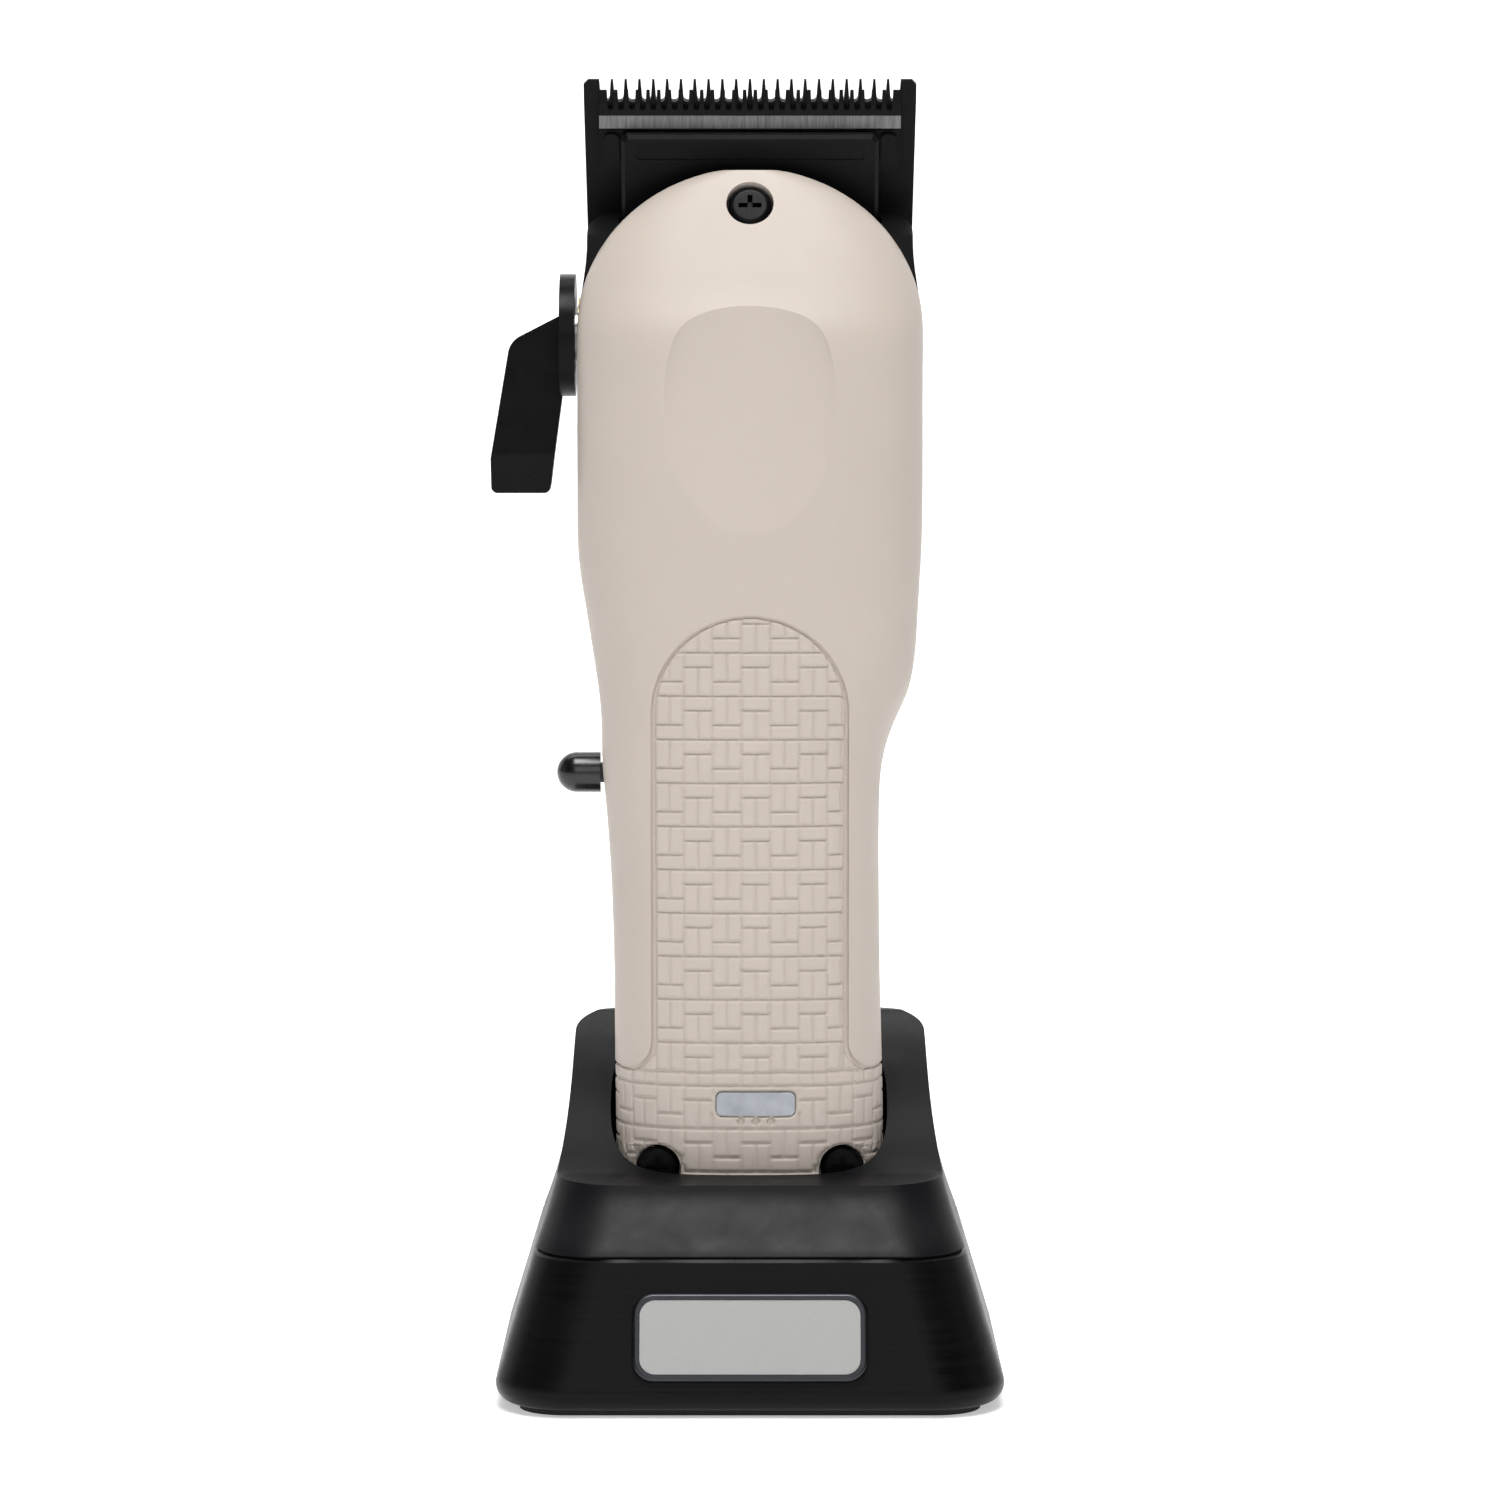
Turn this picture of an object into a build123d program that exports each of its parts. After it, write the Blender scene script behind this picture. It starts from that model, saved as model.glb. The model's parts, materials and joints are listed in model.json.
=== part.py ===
from build123d import *
import os
from math import copysign, cos, pi, radians, sin, sqrt

os.makedirs("parts", exist_ok=True)

# A cordless hair clipper standing in its charging stand.
# +Z is up, the front of the clipper faces -Y and +X is its right-hand side.
# The origin is the centre of the stand's bottom face.  All sizes are in millimetres.

# ---------------------------------------------------------------- driving dimensions
# clipper body
clipper_z = 18.5            # height of the clipper's lower end above the floor
wall = 2.2                  # thickness of the cover and of the housing
reveal = 0.35               # depth of surface grooves and of the parting line
squareness = 2.8            # exponent of the rounded cross-sections
handle_depth = 13.0         # front and back of the handle from the parting plane
head_half = 24.2            # half width of the head
head_front = 15.2           # front of the head from the parting plane
arch_base = 129.0           # height where the rounded top of the cover begins
arch_height = 22.5          # how far the rounded top rises above it
nose_half = 22.9            # half width of the nose that carries the blades
cavity_top = 135.0          # top of the hollow inside the body
front_slope = 27.0          # lean of the cover's face above the thumb dimple, degrees

# surface features of the cover
dimple_h, dimple_y = 113.5, -15.6    # centre of the ellipsoid that cuts the thumb dimple
dimple_half = (13.0, 2.3, 25.0)     # its half axes
dimple_lean = 3.4           # it leans back with the face, degrees
backing_y = -11.3           # back of the thicker wall behind the dimple
grip_half = 13.4            # half width of the textured grip panel
grip_top = 89.4             # top of the panel's arch
grip_bottom = 26.0          # where the groove turns out to the sides
groove_width = 0.7
led_size = (10.9, 3.25)
led_x, led_h = 0.8, 21.6
dot_pitch, dot_h = 2.07, 19.1
front_screw_h = 146.6
rear_screw_x, rear_screw_h = 12.9, 12.3
screw_head_r = 3.05
front_head_t, rear_head_t = 2.2, 1.7   # thickness of the screws' heads
screw_shank_r = 1.4
recess_r = 3.3              # counterbore round each cover screw

# blades
blade_tilt = 22.0           # lean of the blade plane from the clipper's axis, degrees
tip_y, tip_h = 1.0, 163.8   # tips of the fixed blade
fixed_half = 23.25          # half width over the outer teeth
fixed_length = 30.3
fixed_thickness = 2.2
fixed_teeth, fixed_pitch = 21, 1.93
moving_half = 21.1
moving_thickness = 1.55
moving_gap = 0.05           # running gap between the two blades
moving_teeth, moving_pitch = 28, 1.5
nose_edge = 19.6            # distance from the tips to the front edge of the nose
blade_screw_x, blade_screw_b = 13.5, -24.8
guide_half = 18.0
guide_low, guide_high = 2.6, 4.0

# lever and switch
lever_y, lever_h = 5.6, 128.2
hub_r, hub_t = 8.6, 2.15
lever_shaft_r = 4.0
eccentric = 2.35            # offset of the lever's eccentric pin
eccentric_r = 1.5
switch_y, switch_h = 3.5, 66.6
switch_travel = 4.5
knob_r = 2.85

# drive
motor_y = 2.5
motor_r = 11.2
motor_low, motor_high = 86.0, 117.0
cam_offset, cam_pin_r = 1.1, 1.0
cell_r, cell_length = 9.2, 65.0
cell_y, cell_low = 1.3, 4.4

# stand
pad_t = 0.8
base_half, base_front, base_back, base_corner = 35.9, 36.2, 33.5, 10.0
split_z = 20.8
split_half, split_front, split_back, split_corner = 29.9, 28.2, 28.0, 9.5
rim_front_z = 30.2
rim_back_z = 49.4
stand_wall = 2.4
socket_floor = 18.2
socket_gap = 0.5
badge_z = 10.7              # height of the badge's centre
pin_x, pin_y = 6.0, 4.0     # charging pins
pin_r = 0.9

# ---------------------------------------------------------------- planes and outlines
tilt_sin, tilt_cos = sin(radians(blade_tilt)), cos(radians(blade_tilt))
front_plane = Plane(origin=(0, 0, clipper_z), x_dir=(1, 0, 0), z_dir=(0, -1, 0))
blade_plane = Plane(
    origin=(0, tip_y, clipper_z + tip_h), x_dir=(1, 0, 0), z_dir=(0, -tilt_cos, -tilt_sin)
)


def level(height):
    """Horizontal plane at a height along the clipper."""
    return Plane.XY.offset(clipper_z + height)


def side(x):
    """Upright plane at x: its first axis is Y and its second the height along the clipper."""
    return Plane(origin=(x, 0, clipper_z), x_dir=(0, 1, 0), z_dir=(1, 0, 0))


def blade_side(x):
    """Upright plane at x along the blades: first axis towards the tips, second off the blade face."""
    return Plane(
        origin=(x, tip_y, clipper_z + tip_h), x_dir=(0, -tilt_sin, tilt_cos), z_dir=(1, 0, 0)
    )


def on_blade(along, off):
    """Y and height of a point given along the blades and off their contact face."""
    return (
        tip_y - tilt_sin * along - tilt_cos * off,
        tip_h + tilt_cos * along - tilt_sin * off,
    )


def rounded_section(left, right, front, back):
    """Smooth closed outline that is flat in the middle of each side, seam at the back."""
    half, centre = (left + right) / 2, (right - left) / 2
    count = 20
    points = []
    for step in range(count):
        angle = pi / 2 + 2 * pi * step / count
        across, deep = cos(angle), sin(angle)
        depth = back if deep > 0 else front
        x = centre + half * copysign(abs(across) ** (2 / squareness), across)
        y = depth * copysign(abs(deep) ** (2 / squareness), deep)
        points.append((x, y))
    Spline(*points, periodic=True)


# Height, left, right, front and back of the body below the head's top.
trunk = [
    (0, 16.2, 16.2, 10.6, 10.6),
    (0.8, 17.6, 17.6, 12.0, 12.0),
    (2.4, 18.4, 18.4, 12.8, 12.8),
    (5, 18.7, 18.7, handle_depth, handle_depth),
    (20, 19.0, 18.8, handle_depth, handle_depth),
    (35, 19.1, 18.4, handle_depth, handle_depth),
    (49, 19.4, 18.2, handle_depth, 13.2),
    (63, 20.3, 18.2, handle_depth, 14.0),
    (69.5, 20.8, 18.8, 13.05, 14.7),
    (74.4, 20.9, 20.4, 13.1, 15.3),
    (78, 21.2, 22.0, 13.2, 15.9),
    (83, 21.9, 23.1, 13.35, 16.7),
    (90, 23.0, 23.6, 13.7, 17.8),
    (97, 24.0, 24.0, 14.1, 18.8),
    (105, head_half, head_half, 14.6, 19.7),
    (111, head_half, head_half, 15.0, 20.1),
    (118, head_half, head_half, head_front, 19.9),
    (125, head_half, head_half, head_front, 18.4),
]
# The cover's face leans back above the head while its outline narrows to the arch.
cover_top = []
for rise in (0, 4, 8, 12, 16, 19, 21, 22.2):
    half = head_half * sqrt(1 - (rise / arch_height) ** 2)
    lean = (arch_base + rise - 128) * sin(radians(front_slope)) / cos(radians(front_slope))
    cover_top.append((arch_base + rise, half, half, head_front - lean, 17.0 - rise / 4))
# The nose keeps its width and tapers in depth to the blades.
nose = [
    (130, 24.1, 24.1, 14.9, 16.7),
    (134, 23.6, 23.6, 14.4, 15.3),
    (139, nose_half, nose_half, 13.7, 13.8),
    (145, nose_half, nose_half, 13.0, 12.0),
    (152, nose_half, nose_half, 12.2, 10.0),
]


def body_loft(stations, inset, lowest, highest):
    """Loft through the stations, drawn in by inset, between two heights."""
    inside = [s for s in stations if lowest + 1 < s[0] < highest - 1]
    first = (lowest,) + stations[0][1:]
    last = [s for s in stations if s[0] >= highest - 1][0]
    with BuildPart() as form:
        for height, left, right, front, back in [first] + inside + [(highest,) + last[1:]]:
            with BuildSketch(level(height)):
                with BuildLine():
                    rounded_section(left - inset, right - inset, front - inset, back - inset)
                make_face()
        loft()
    return form.part


cover_form = body_loft(trunk + cover_top, 0, 0, arch_base + 22.2)
housing_form = body_loft(trunk + nose, 0, 0, 152)
skin_form = body_loft(trunk + nose, reveal, 0, 133)
cover_cavity = body_loft(trunk[3:] + cover_top, wall, wall, cavity_top - 0.5)
housing_cavity = body_loft(trunk[3:] + nose, wall, wall, cavity_top)

# Axis of the upper cover screw: square to the leaning face.
screw_lean = radians(front_slope)
upper_screw_plane = Plane(
    origin=(0, -(head_front - (front_screw_h - 128) * sin(screw_lean) / cos(screw_lean)),
            clipper_z + front_screw_h),
    x_dir=(1, 0, 0),
    z_dir=(0, -cos(screw_lean), sin(screw_lean)),
)
rear_screw_floor = Plane.XZ.offset(8.4)     # seat of the two lower screws
rear_screw_places = [(x, clipper_z + rear_screw_h) for x in (-rear_screw_x, rear_screw_x)]



def grip_outline(grow):
    """Arched outline of the grip panel, turning out to the sides at its lower end."""
    half, low = grip_half + grow, grip_bottom + grow
    turn = 4.0
    spring = grip_top - grip_half
    with BuildSketch(front_plane) as outline:
        with BuildLine():
            CenterArc((0, spring), half, 0, 180)
            Line((-half, spring), (-half, grip_bottom + turn))
            CenterArc((-grip_half - turn, grip_bottom + turn), turn - grow, 270, 90)
            Polyline(
                (-grip_half - turn, low), (-26, low), (-26, -5),
                (26, -5), (26, low), (grip_half + turn, low),
            )
            CenterArc((grip_half + turn, grip_bottom + turn), turn - grow, 180, 90)
            Line((half, grip_bottom + turn), (half, spring))
        make_face()
    return outline.sketch


# ---------------------------------------------------------------- clipper: cover and housing
# The grip's woven relief lies in a shallow recess of the cover.
with BuildPart() as grip_recess:
    extrude(to_extrude=grip_outline(groove_width / 2), amount=20)
    add(skin_form, mode=Mode.SUBTRACT)

with BuildPart() as dimple_form:
    Sphere(1)
    scale(by=dimple_half)

with BuildPart() as dimple_backing:
    with BuildSketch(Plane.XZ.offset(-backing_y)):
        with Locations((0, clipper_z + dimple_h)):
            Ellipse(dimple_half[0] + 1, dimple_half[2] - 3)
    extrude(amount=6)
    add(cover_form, mode=Mode.INTERSECT)

with BuildPart() as cover_bosses:
    with BuildSketch(Plane.XZ):
        with Locations(*rear_screw_places):
            Circle(3.1)
    extrude(amount=8.6)
    with BuildSketch(Plane.XZ.offset(5.0)):
        with Locations(*rear_screw_places):
            Circle(recess_r + 0.9)
    extrude(amount=3.8)
    add(cover_form, mode=Mode.INTERSECT)

with BuildPart() as top_cover:
    add(cover_form)
    split(bisect_by=Plane.XZ, keep=Keep.TOP)
    add(cover_cavity, mode=Mode.SUBTRACT)
    add(cover_bosses.part)
    add(dimple_backing.part)
    with BuildSketch(rear_screw_floor):
        with Locations(*rear_screw_places):
            Circle(recess_r)
    extrude(amount=8, mode=Mode.SUBTRACT)
    with BuildSketch(Plane.XZ):
        with Locations(*rear_screw_places):
            Circle(screw_shank_r + 0.1)
    extrude(amount=9, mode=Mode.SUBTRACT)
    with BuildSketch(upper_screw_plane.offset(-2.8)):
        Circle(recess_r)
    extrude(amount=8, mode=Mode.SUBTRACT)
    with BuildSketch(upper_screw_plane):
        Circle(screw_shank_r + 0.1)
    extrude(amount=-12, mode=Mode.SUBTRACT)
    add(grip_recess.part, mode=Mode.SUBTRACT)
    with Locations(Location((0, dimple_y, clipper_z + dimple_h), (-dimple_lean, 0, 0))):
        add(dimple_form.part, mode=Mode.SUBTRACT)
    with BuildSketch(front_plane):
        with Locations((led_x, led_h)):
            RectangleRounded(led_size[0] + 0.1, led_size[1] + 0.1, 0.85)
    extrude(amount=20, mode=Mode.SUBTRACT)
    with BuildSketch(front_plane.offset(handle_depth - 0.35)):
        with GridLocations(dot_pitch, 1, 3, 1):
            with Locations((led_x, dot_h)):
                Circle(0.3)
    extrude(amount=3, mode=Mode.SUBTRACT)
top_cover.part.label = "top_cover"
export_step(top_cover.part, "parts/top_cover.step")

with BuildPart() as blade_clearance:
    with BuildSketch(blade_side(-30)):
        Polygon((-30.6, -30), (20, -30), (20, 0), (-30.6, 0), align=None)
        Polygon((-nose_edge, -0.1), (20, -0.1), (20, 4.6), (-nose_edge, 4.6), align=None)
    extrude(amount=60)
    with BuildSketch(blade_side(-guide_half - 0.5)):
        Polygon((-38, 2.2), (20, 2.2), (20, 4.6), (-38, 4.6), align=None)
    extrude(amount=2 * guide_half + 1)
    with BuildSketch(blade_side(-8.8)):
        Polygon((-36, -0.1), (0, -0.1), (0, 4.6), (-36, 4.6), align=None)
    extrude(amount=17.6)
    with BuildSketch(blade_side(-9.2)):
        Polygon((-36, 0.2), (-23, 0.2), (-23, 30), (-36, 30), align=None)
    extrude(amount=18.4)

with BuildPart() as nose_bridge:
    with BuildSketch(front_plane.offset(-12)):
        with Locations((0, arch_base)):
            Ellipse(head_half - 0.6, arch_height - 0.6)
    extrude(amount=12)

with BuildPart() as nose_front:
    with BuildSketch(blade_side(-30)):
        Polygon((-nose_edge, 4.6), (20, 4.6), (20, 30), (-nose_edge, 30), align=None)
    extrude(amount=60)
    add(nose_bridge.part, mode=Mode.SUBTRACT)

with BuildPart() as bottom_housing:
    add(housing_form)
    split(bisect_by=Plane.XZ, keep=Keep.BOTTOM)
    add(housing_cavity, mode=Mode.SUBTRACT)
    with BuildSketch(Plane.XZ):
        with Locations(*rear_screw_places):
            Circle(3.1)
    extrude(amount=-8.6)
    add(blade_clearance.part, mode=Mode.SUBTRACT)
    add(nose_front.part, mode=Mode.SUBTRACT)
    # thread holes of the cover screws and of the blade screws
    with BuildSketch(Plane.XZ):
        with Locations(*rear_screw_places):
            Circle(screw_shank_r)
    extrude(amount=-7, mode=Mode.SUBTRACT)
    with BuildSketch(upper_screw_plane):
        Circle(screw_shank_r)
    extrude(amount=-9.5, mode=Mode.SUBTRACT)
    with BuildSketch(blade_plane):
        with Locations((-blade_screw_x, blade_screw_b), (blade_screw_x, blade_screw_b)):
            Circle(1.25)
    extrude(amount=2.4, mode=Mode.SUBTRACT)
    # bush of the lever, slot of the switch and windows of the charging contacts
    with BuildSketch(side(-30)):
        with Locations((lever_y, lever_h)):
            Circle(5.3)
    extrude(amount=12, mode=Mode.SUBTRACT)
    with BuildSketch(side(-30)):
        with Locations((switch_y, switch_h + switch_travel / 2)):
            SlotCenterToCenter(switch_travel + 0.4, 3.2, rotation=90)
    extrude(amount=14, mode=Mode.SUBTRACT)
    with BuildSketch(level(-1)):
        with Locations((-pin_x, pin_y), (pin_x, pin_y)):
            Rectangle(6.0, 5.0)
    extrude(amount=4, mode=Mode.SUBTRACT)
bottom_housing.part.label = "bottom_housing"
export_step(bottom_housing.part, "parts/bottom_housing.step")

# ---------------------------------------------------------------- clipper: small outer pieces
with BuildPart() as led_window:
    with BuildSketch(front_plane.offset(10.4)):
        with Locations((led_x, led_h)):
            RectangleRounded(led_size[0], led_size[1], 0.8)
    extrude(amount=6)
    add(cover_form, mode=Mode.INTERSECT)
led_window.part.label = "led_window"
export_step(led_window.part, "parts/led_window.step")


def cover_screw(seat, head_t, shank):
    """Pan-head cross-recess screw whose head rests on the seat plane."""
    with BuildPart() as screw:
        with BuildSketch(seat):
            Circle(screw_head_r)
        extrude(amount=head_t)
        rim = [e for e in screw.edges() if abs(seat.to_local_coords(e.center()).Z - head_t) < 0.01]
        fillet(rim, 0.9)
        with BuildSketch(seat):
            Circle(screw_shank_r)
        extrude(amount=-shank)
        with BuildSketch(seat.offset(head_t)):
            Rectangle(3.2, 0.7)
            Rectangle(0.7, 3.2)
        extrude(amount=-1.1, mode=Mode.SUBTRACT)
    return screw.part


with BuildPart() as cover_screw_front:
    add(cover_screw(upper_screw_plane.offset(-2.8), front_head_t, 6.0))
cover_screw_front.part.label = "cover_screw_front"
export_step(cover_screw_front.part, "parts/cover_screw_front.step")

with BuildPart() as cover_screws_rear:
    for x in (-rear_screw_x, rear_screw_x):
        seat = Plane(
            origin=(x, -8.4, clipper_z + rear_screw_h), x_dir=(1, 0, 0), z_dir=(0, -1, 0)
        )
        add(cover_screw(seat, rear_head_t, 14.0))
cover_screws_rear.part.label = "cover_screws_rear"
export_step(cover_screws_rear.part, "parts/cover_screws_rear.step")

# ---------------------------------------------------------------- blades
with BuildPart() as fixed_blade:
    with BuildSketch(blade_side(-fixed_half)):
        Polygon(
            (0, -0.02), (0, -0.5), (-5, -1.6), (-11, -fixed_thickness),
            (-fixed_length, -fixed_thickness), (-fixed_length, 0), (-0.2, 0), align=None,
        )
    extrude(amount=2 * fixed_half)
    # slightly narrower rear, rounded ears
    with BuildSketch(blade_plane.offset(-5)):
        with BuildLine():
            Polyline(
                (-fixed_half, -3), (-fixed_half, -0.7), (0.65 - fixed_half, 0.02),
                (fixed_half - 0.65, 0.02), (fixed_half, -0.7), (fixed_half, -3),
                (nose_half, -24), (nose_half, -fixed_length - 1), (-nose_half, -fixed_length - 1),
                (-nose_half, -24), (-fixed_half, -3),
            )
        make_face()
    extrude(amount=6, mode=Mode.INTERSECT)
    with BuildSketch(blade_plane.offset(-5)):
        for tooth in range(fixed_teeth + 1):
            with Locations(((tooth - fixed_teeth / 2) * fixed_pitch, 0)):
                Polygon((-0.62, -2.65), (-0.88, 1), (0.88, 1), (0.62, -2.65), align=None)
                with Locations((0, -2.65)):
                    Circle(0.62)
    extrude(amount=6, mode=Mode.SUBTRACT)
    with BuildSketch(blade_plane.offset(-5)):
        with Locations((-blade_screw_x, blade_screw_b), (blade_screw_x, blade_screw_b)):
            Circle(1.45)
    extrude(amount=6, mode=Mode.SUBTRACT)
    with BuildSketch(blade_plane.offset(-fixed_thickness)):
        with Locations((-blade_screw_x, blade_screw_b), (blade_screw_x, blade_screw_b)):
            Circle(2.6)
    extrude(amount=1.2, mode=Mode.SUBTRACT)
fixed_blade.part.label = "fixed_blade"
export_step(fixed_blade.part, "parts/fixed_blade.step")

with BuildPart() as blade_screws:
    for x in (-blade_screw_x, blade_screw_x):
        with BuildSketch(blade_plane.offset(-fixed_thickness + 0.1)):
            with Locations((x, blade_screw_b)):
                Circle(2.4)
                Rectangle(0.7, 3.2, mode=Mode.SUBTRACT)
                Rectangle(3.2, 0.7, mode=Mode.SUBTRACT)
        extrude(amount=0.6)
        with BuildSketch(blade_plane.offset(-fixed_thickness + 0.7)):
            with Locations((x, blade_screw_b)):
                Circle(2.4)
        extrude(amount=0.5)
        with BuildSketch(blade_plane.offset(-1.1)):
            with Locations((x, blade_screw_b)):
                Circle(1.2)
        extrude(amount=3.1)
blade_screws.part.label = "blade_screws"
export_step(blade_screws.part, "parts/blade_screws.step")

with BuildPart() as moving_blade:
    with BuildSketch(blade_side(-moving_half)):
        Polygon(
            (-1.4, moving_gap), (-1.4, 0.3), (-3.3, 0.75), (-4.7, moving_gap + moving_thickness),
            (-6.6, moving_gap + moving_thickness), (-6.9, 1.35), (-13, 1.35),
            (-13, moving_gap), align=None,
        )
    extrude(amount=2 * moving_half)
    with BuildSketch(blade_side(-6.8)):
        Polygon((-12, moving_gap), (-12, 1.35), (-24, 1.35), (-24, moving_gap), align=None)
    extrude(amount=13.6)
    with BuildSketch(blade_plane.offset(1.3)):
        for x in (-19.4, 19.4):
            with Locations((x, -9.6)):
                RectangleRounded(2.2, 4.6, 0.9)
    extrude(amount=0.9)
    with BuildSketch(blade_plane):
        for tooth in range(moving_teeth - 1):
            with Locations(((tooth - (moving_teeth - 2) / 2) * moving_pitch, 0)):
                Polygon((-0.4, -3.7), (-0.58, 0), (0.58, 0), (0.4, -3.7), align=None)
                with Locations((0, -3.7)):
                    Circle(0.4)
    extrude(amount=4, mode=Mode.SUBTRACT)
moving_blade.part.label = "moving_blade"
export_step(moving_blade.part, "parts/moving_blade.step")

# Follower: base on the blade's tongue, post and a fork that opens towards the cover.
with BuildPart() as cam_follower:
    with BuildSketch(blade_side(-6.4)):
        Polygon((-18.6, 1.35), (-18.6, 3.3), (-29, 3.3), (-29, 1.35), align=None)
    extrude(amount=12.8)
    with BuildSketch(side(-4.5)):
        Polygon(
            on_blade(-22, 3.2), on_blade(-26, 3.2), (5.2, 133), (5.2, 129), (7.9, 129),
            (9.2, 132.5), on_blade(-29, 1.35), on_blade(-25, 1.35), align=None,
        )
    extrude(amount=9)
    with BuildSketch(level(129)):
        Polygon((-5.4, -1.6), (5.4, -1.6), (5.4, 7.2), (-5.4, 7.2), align=None)
        Polygon((-3.3, -1.6), (3.3, -1.6), (3.3, 5.1), (-3.3, 5.1), align=None, mode=Mode.SUBTRACT)
    extrude(amount=4)
cam_follower.part.label = "cam_follower"
export_step(cam_follower.part, "parts/cam_follower.step")

# ---------------------------------------------------------------- taper carriage
# Eccentric pin of the lever at rest, along the blades and off their face.
pin_out, pin_up = lever_y - eccentric - tip_y, lever_h - tip_h
pin_b = tilt_cos * pin_up - tilt_sin * pin_out
pin_n = -tilt_cos * pin_out - tilt_sin * pin_up
with BuildPart() as blade_guide:
    with BuildSketch(blade_plane.offset(guide_low)):
        with BuildLine():
            Polyline(
                (-guide_half, -30.5), (-guide_half, -7.6), (-guide_half + 0.8, -6.8),
                (guide_half - 0.8, -6.8), (guide_half, -7.6), (guide_half, -30.5), (9, -30.5),
                (9, -17), (-9, -17), (-9, -30.5), (-guide_half, -30.5),
            )
        make_face()
    extrude(amount=guide_high - guide_low)
    upper_rim = [
        edge for edge in blade_guide.edges()
        if abs(blade_plane.to_local_coords(edge.center()).Z - guide_high) < 0.01
        and blade_plane.to_local_coords(edge.center()).Y > -20
        and abs(blade_plane.to_local_coords(edge.center()).X) > guide_half - 1
        or abs(blade_plane.to_local_coords(edge.center()).Y + 6.8) < 0.01
        and blade_plane.to_local_coords(edge.center()).Z > guide_high - 0.01
    ]
    chamfer(upper_rim, 0.5)
    with BuildSketch(blade_plane.offset(guide_high - 0.2)):
        with Locations((0, -9.2)):
            RectangleRounded(32, 2.4, 0.6)
    extrude(amount=1, mode=Mode.SUBTRACT)
    with BuildSketch(blade_side(-14)):
        Polygon((-36.6, 2.6), (-30.2, 2.6), (-30.2, 14.2), (-36.6, 14.2), align=None)
        with Locations((pin_b, pin_n)):
            SlotCenterToCenter(0.9, 2 * eccentric_r + 0.12, rotation=90, mode=Mode.SUBTRACT)
    extrude(amount=3)
blade_guide.part.label = "blade_guide"
export_step(blade_guide.part, "parts/blade_guide.step")

with BuildPart() as tension_spring:
    with BuildSketch(blade_side(-15)):
        Polygon(
            (-7.6, 1.5), (-7.6, 1.8), (-12, 2.6), (-16, 2.6), (-16, 2.3), (-12, 2.3), align=None
        )
    extrude(amount=30)
tension_spring.part.label = "tension_spring"
export_step(tension_spring.part, "parts/tension_spring.step")

# ---------------------------------------------------------------- taper lever
hub_x = -(head_half + 0.35)
with BuildPart() as lever_outline:
    with BuildSketch(front_plane.offset(-12)):
        with BuildLine():
            Polyline(
                (hub_x - 1.2, 131.2), (hub_x - hub_t, 131.0), (-33.8, 127.35),
                (-36.6, 110.8), (-36.6, 105.9), (-28.4, 105.9), (-28.1, 107.2),
                (hub_x - hub_t + 0.3, 119.8), (hub_x - 1.2, 119.8), (hub_x - 1.2, 131.2),
            )
        make_face()
        fillet([corner for corner in vertices() if -34.5 < corner.X < -31.5], 3.2)
        fillet([corner for corner in vertices() if corner.Y < 106], 0.9)
    extrude(amount=24)
with BuildPart() as lever_arm:
    with BuildSketch(side(-40)):
        with BuildLine():
            sheet = Polyline((lever_y, 132), (lever_y, 111.6), (lever_y + 2.9, 105.4))
            offset(amount=1.2, side=Side.BOTH)
        make_face()
    extrude(amount=20)
    add(lever_outline.part, mode=Mode.INTERSECT)
    with BuildSketch(side(hub_x - hub_t)):
        with Locations((lever_y, lever_h)):
            Circle(hub_r)
    extrude(amount=hub_t)
lever_arm.part.label = "lever_arm"
export_step(lever_arm.part, "parts/lever_arm.step")

# Shaft of the lever: a stub through the bush, a groove for the clip and the eccentric pin.
shaft_end = -14.3
clip_x = -19.0
with BuildPart() as lever_shaft:
    with BuildSketch(side(hub_x)):
        with Locations((lever_y, lever_h)):
            Circle(lever_shaft_r)
    extrude(amount=shaft_end - hub_x)
    with BuildSketch(side(clip_x)):
        with Locations((lever_y, lever_h)):
            Circle(lever_shaft_r)
            Circle(lever_shaft_r - 0.8, mode=Mode.SUBTRACT)
    extrude(amount=0.9, mode=Mode.SUBTRACT)
    with BuildSketch(side(shaft_end)):
        with Locations((lever_y - eccentric, lever_h)):
            Circle(eccentric_r)
    extrude(amount=3.4)
lever_shaft.part.label = "lever_shaft"
export_step(lever_shaft.part, "parts/lever_shaft.step")

with BuildPart() as lever_clip:
    with BuildSketch(side(clip_x + 0.05)):
        with Locations((lever_y, lever_h)):
            Circle(5.3)
            Circle(lever_shaft_r - 0.8, mode=Mode.SUBTRACT)
            with Locations((0, -4)):
                Rectangle(3.6, 8, mode=Mode.SUBTRACT)
    extrude(amount=0.8)
lever_clip.part.label = "lever_clip"
export_step(lever_clip.part, "parts/lever_clip.step")

with BuildPart() as lever_bush:
    with BuildSketch(side(-24.1)):
        with Locations((lever_y, lever_h)):
            Circle(5.3)
    extrude(amount=4.8)
    with BuildSketch(side(-25)):
        with Locations((lever_y, lever_h)):
            Circle(lever_shaft_r + 0.05)
    extrude(amount=8, mode=Mode.SUBTRACT)
lever_bush.part.label = "lever_bush"
export_step(lever_bush.part, "parts/lever_bush.step")

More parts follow.
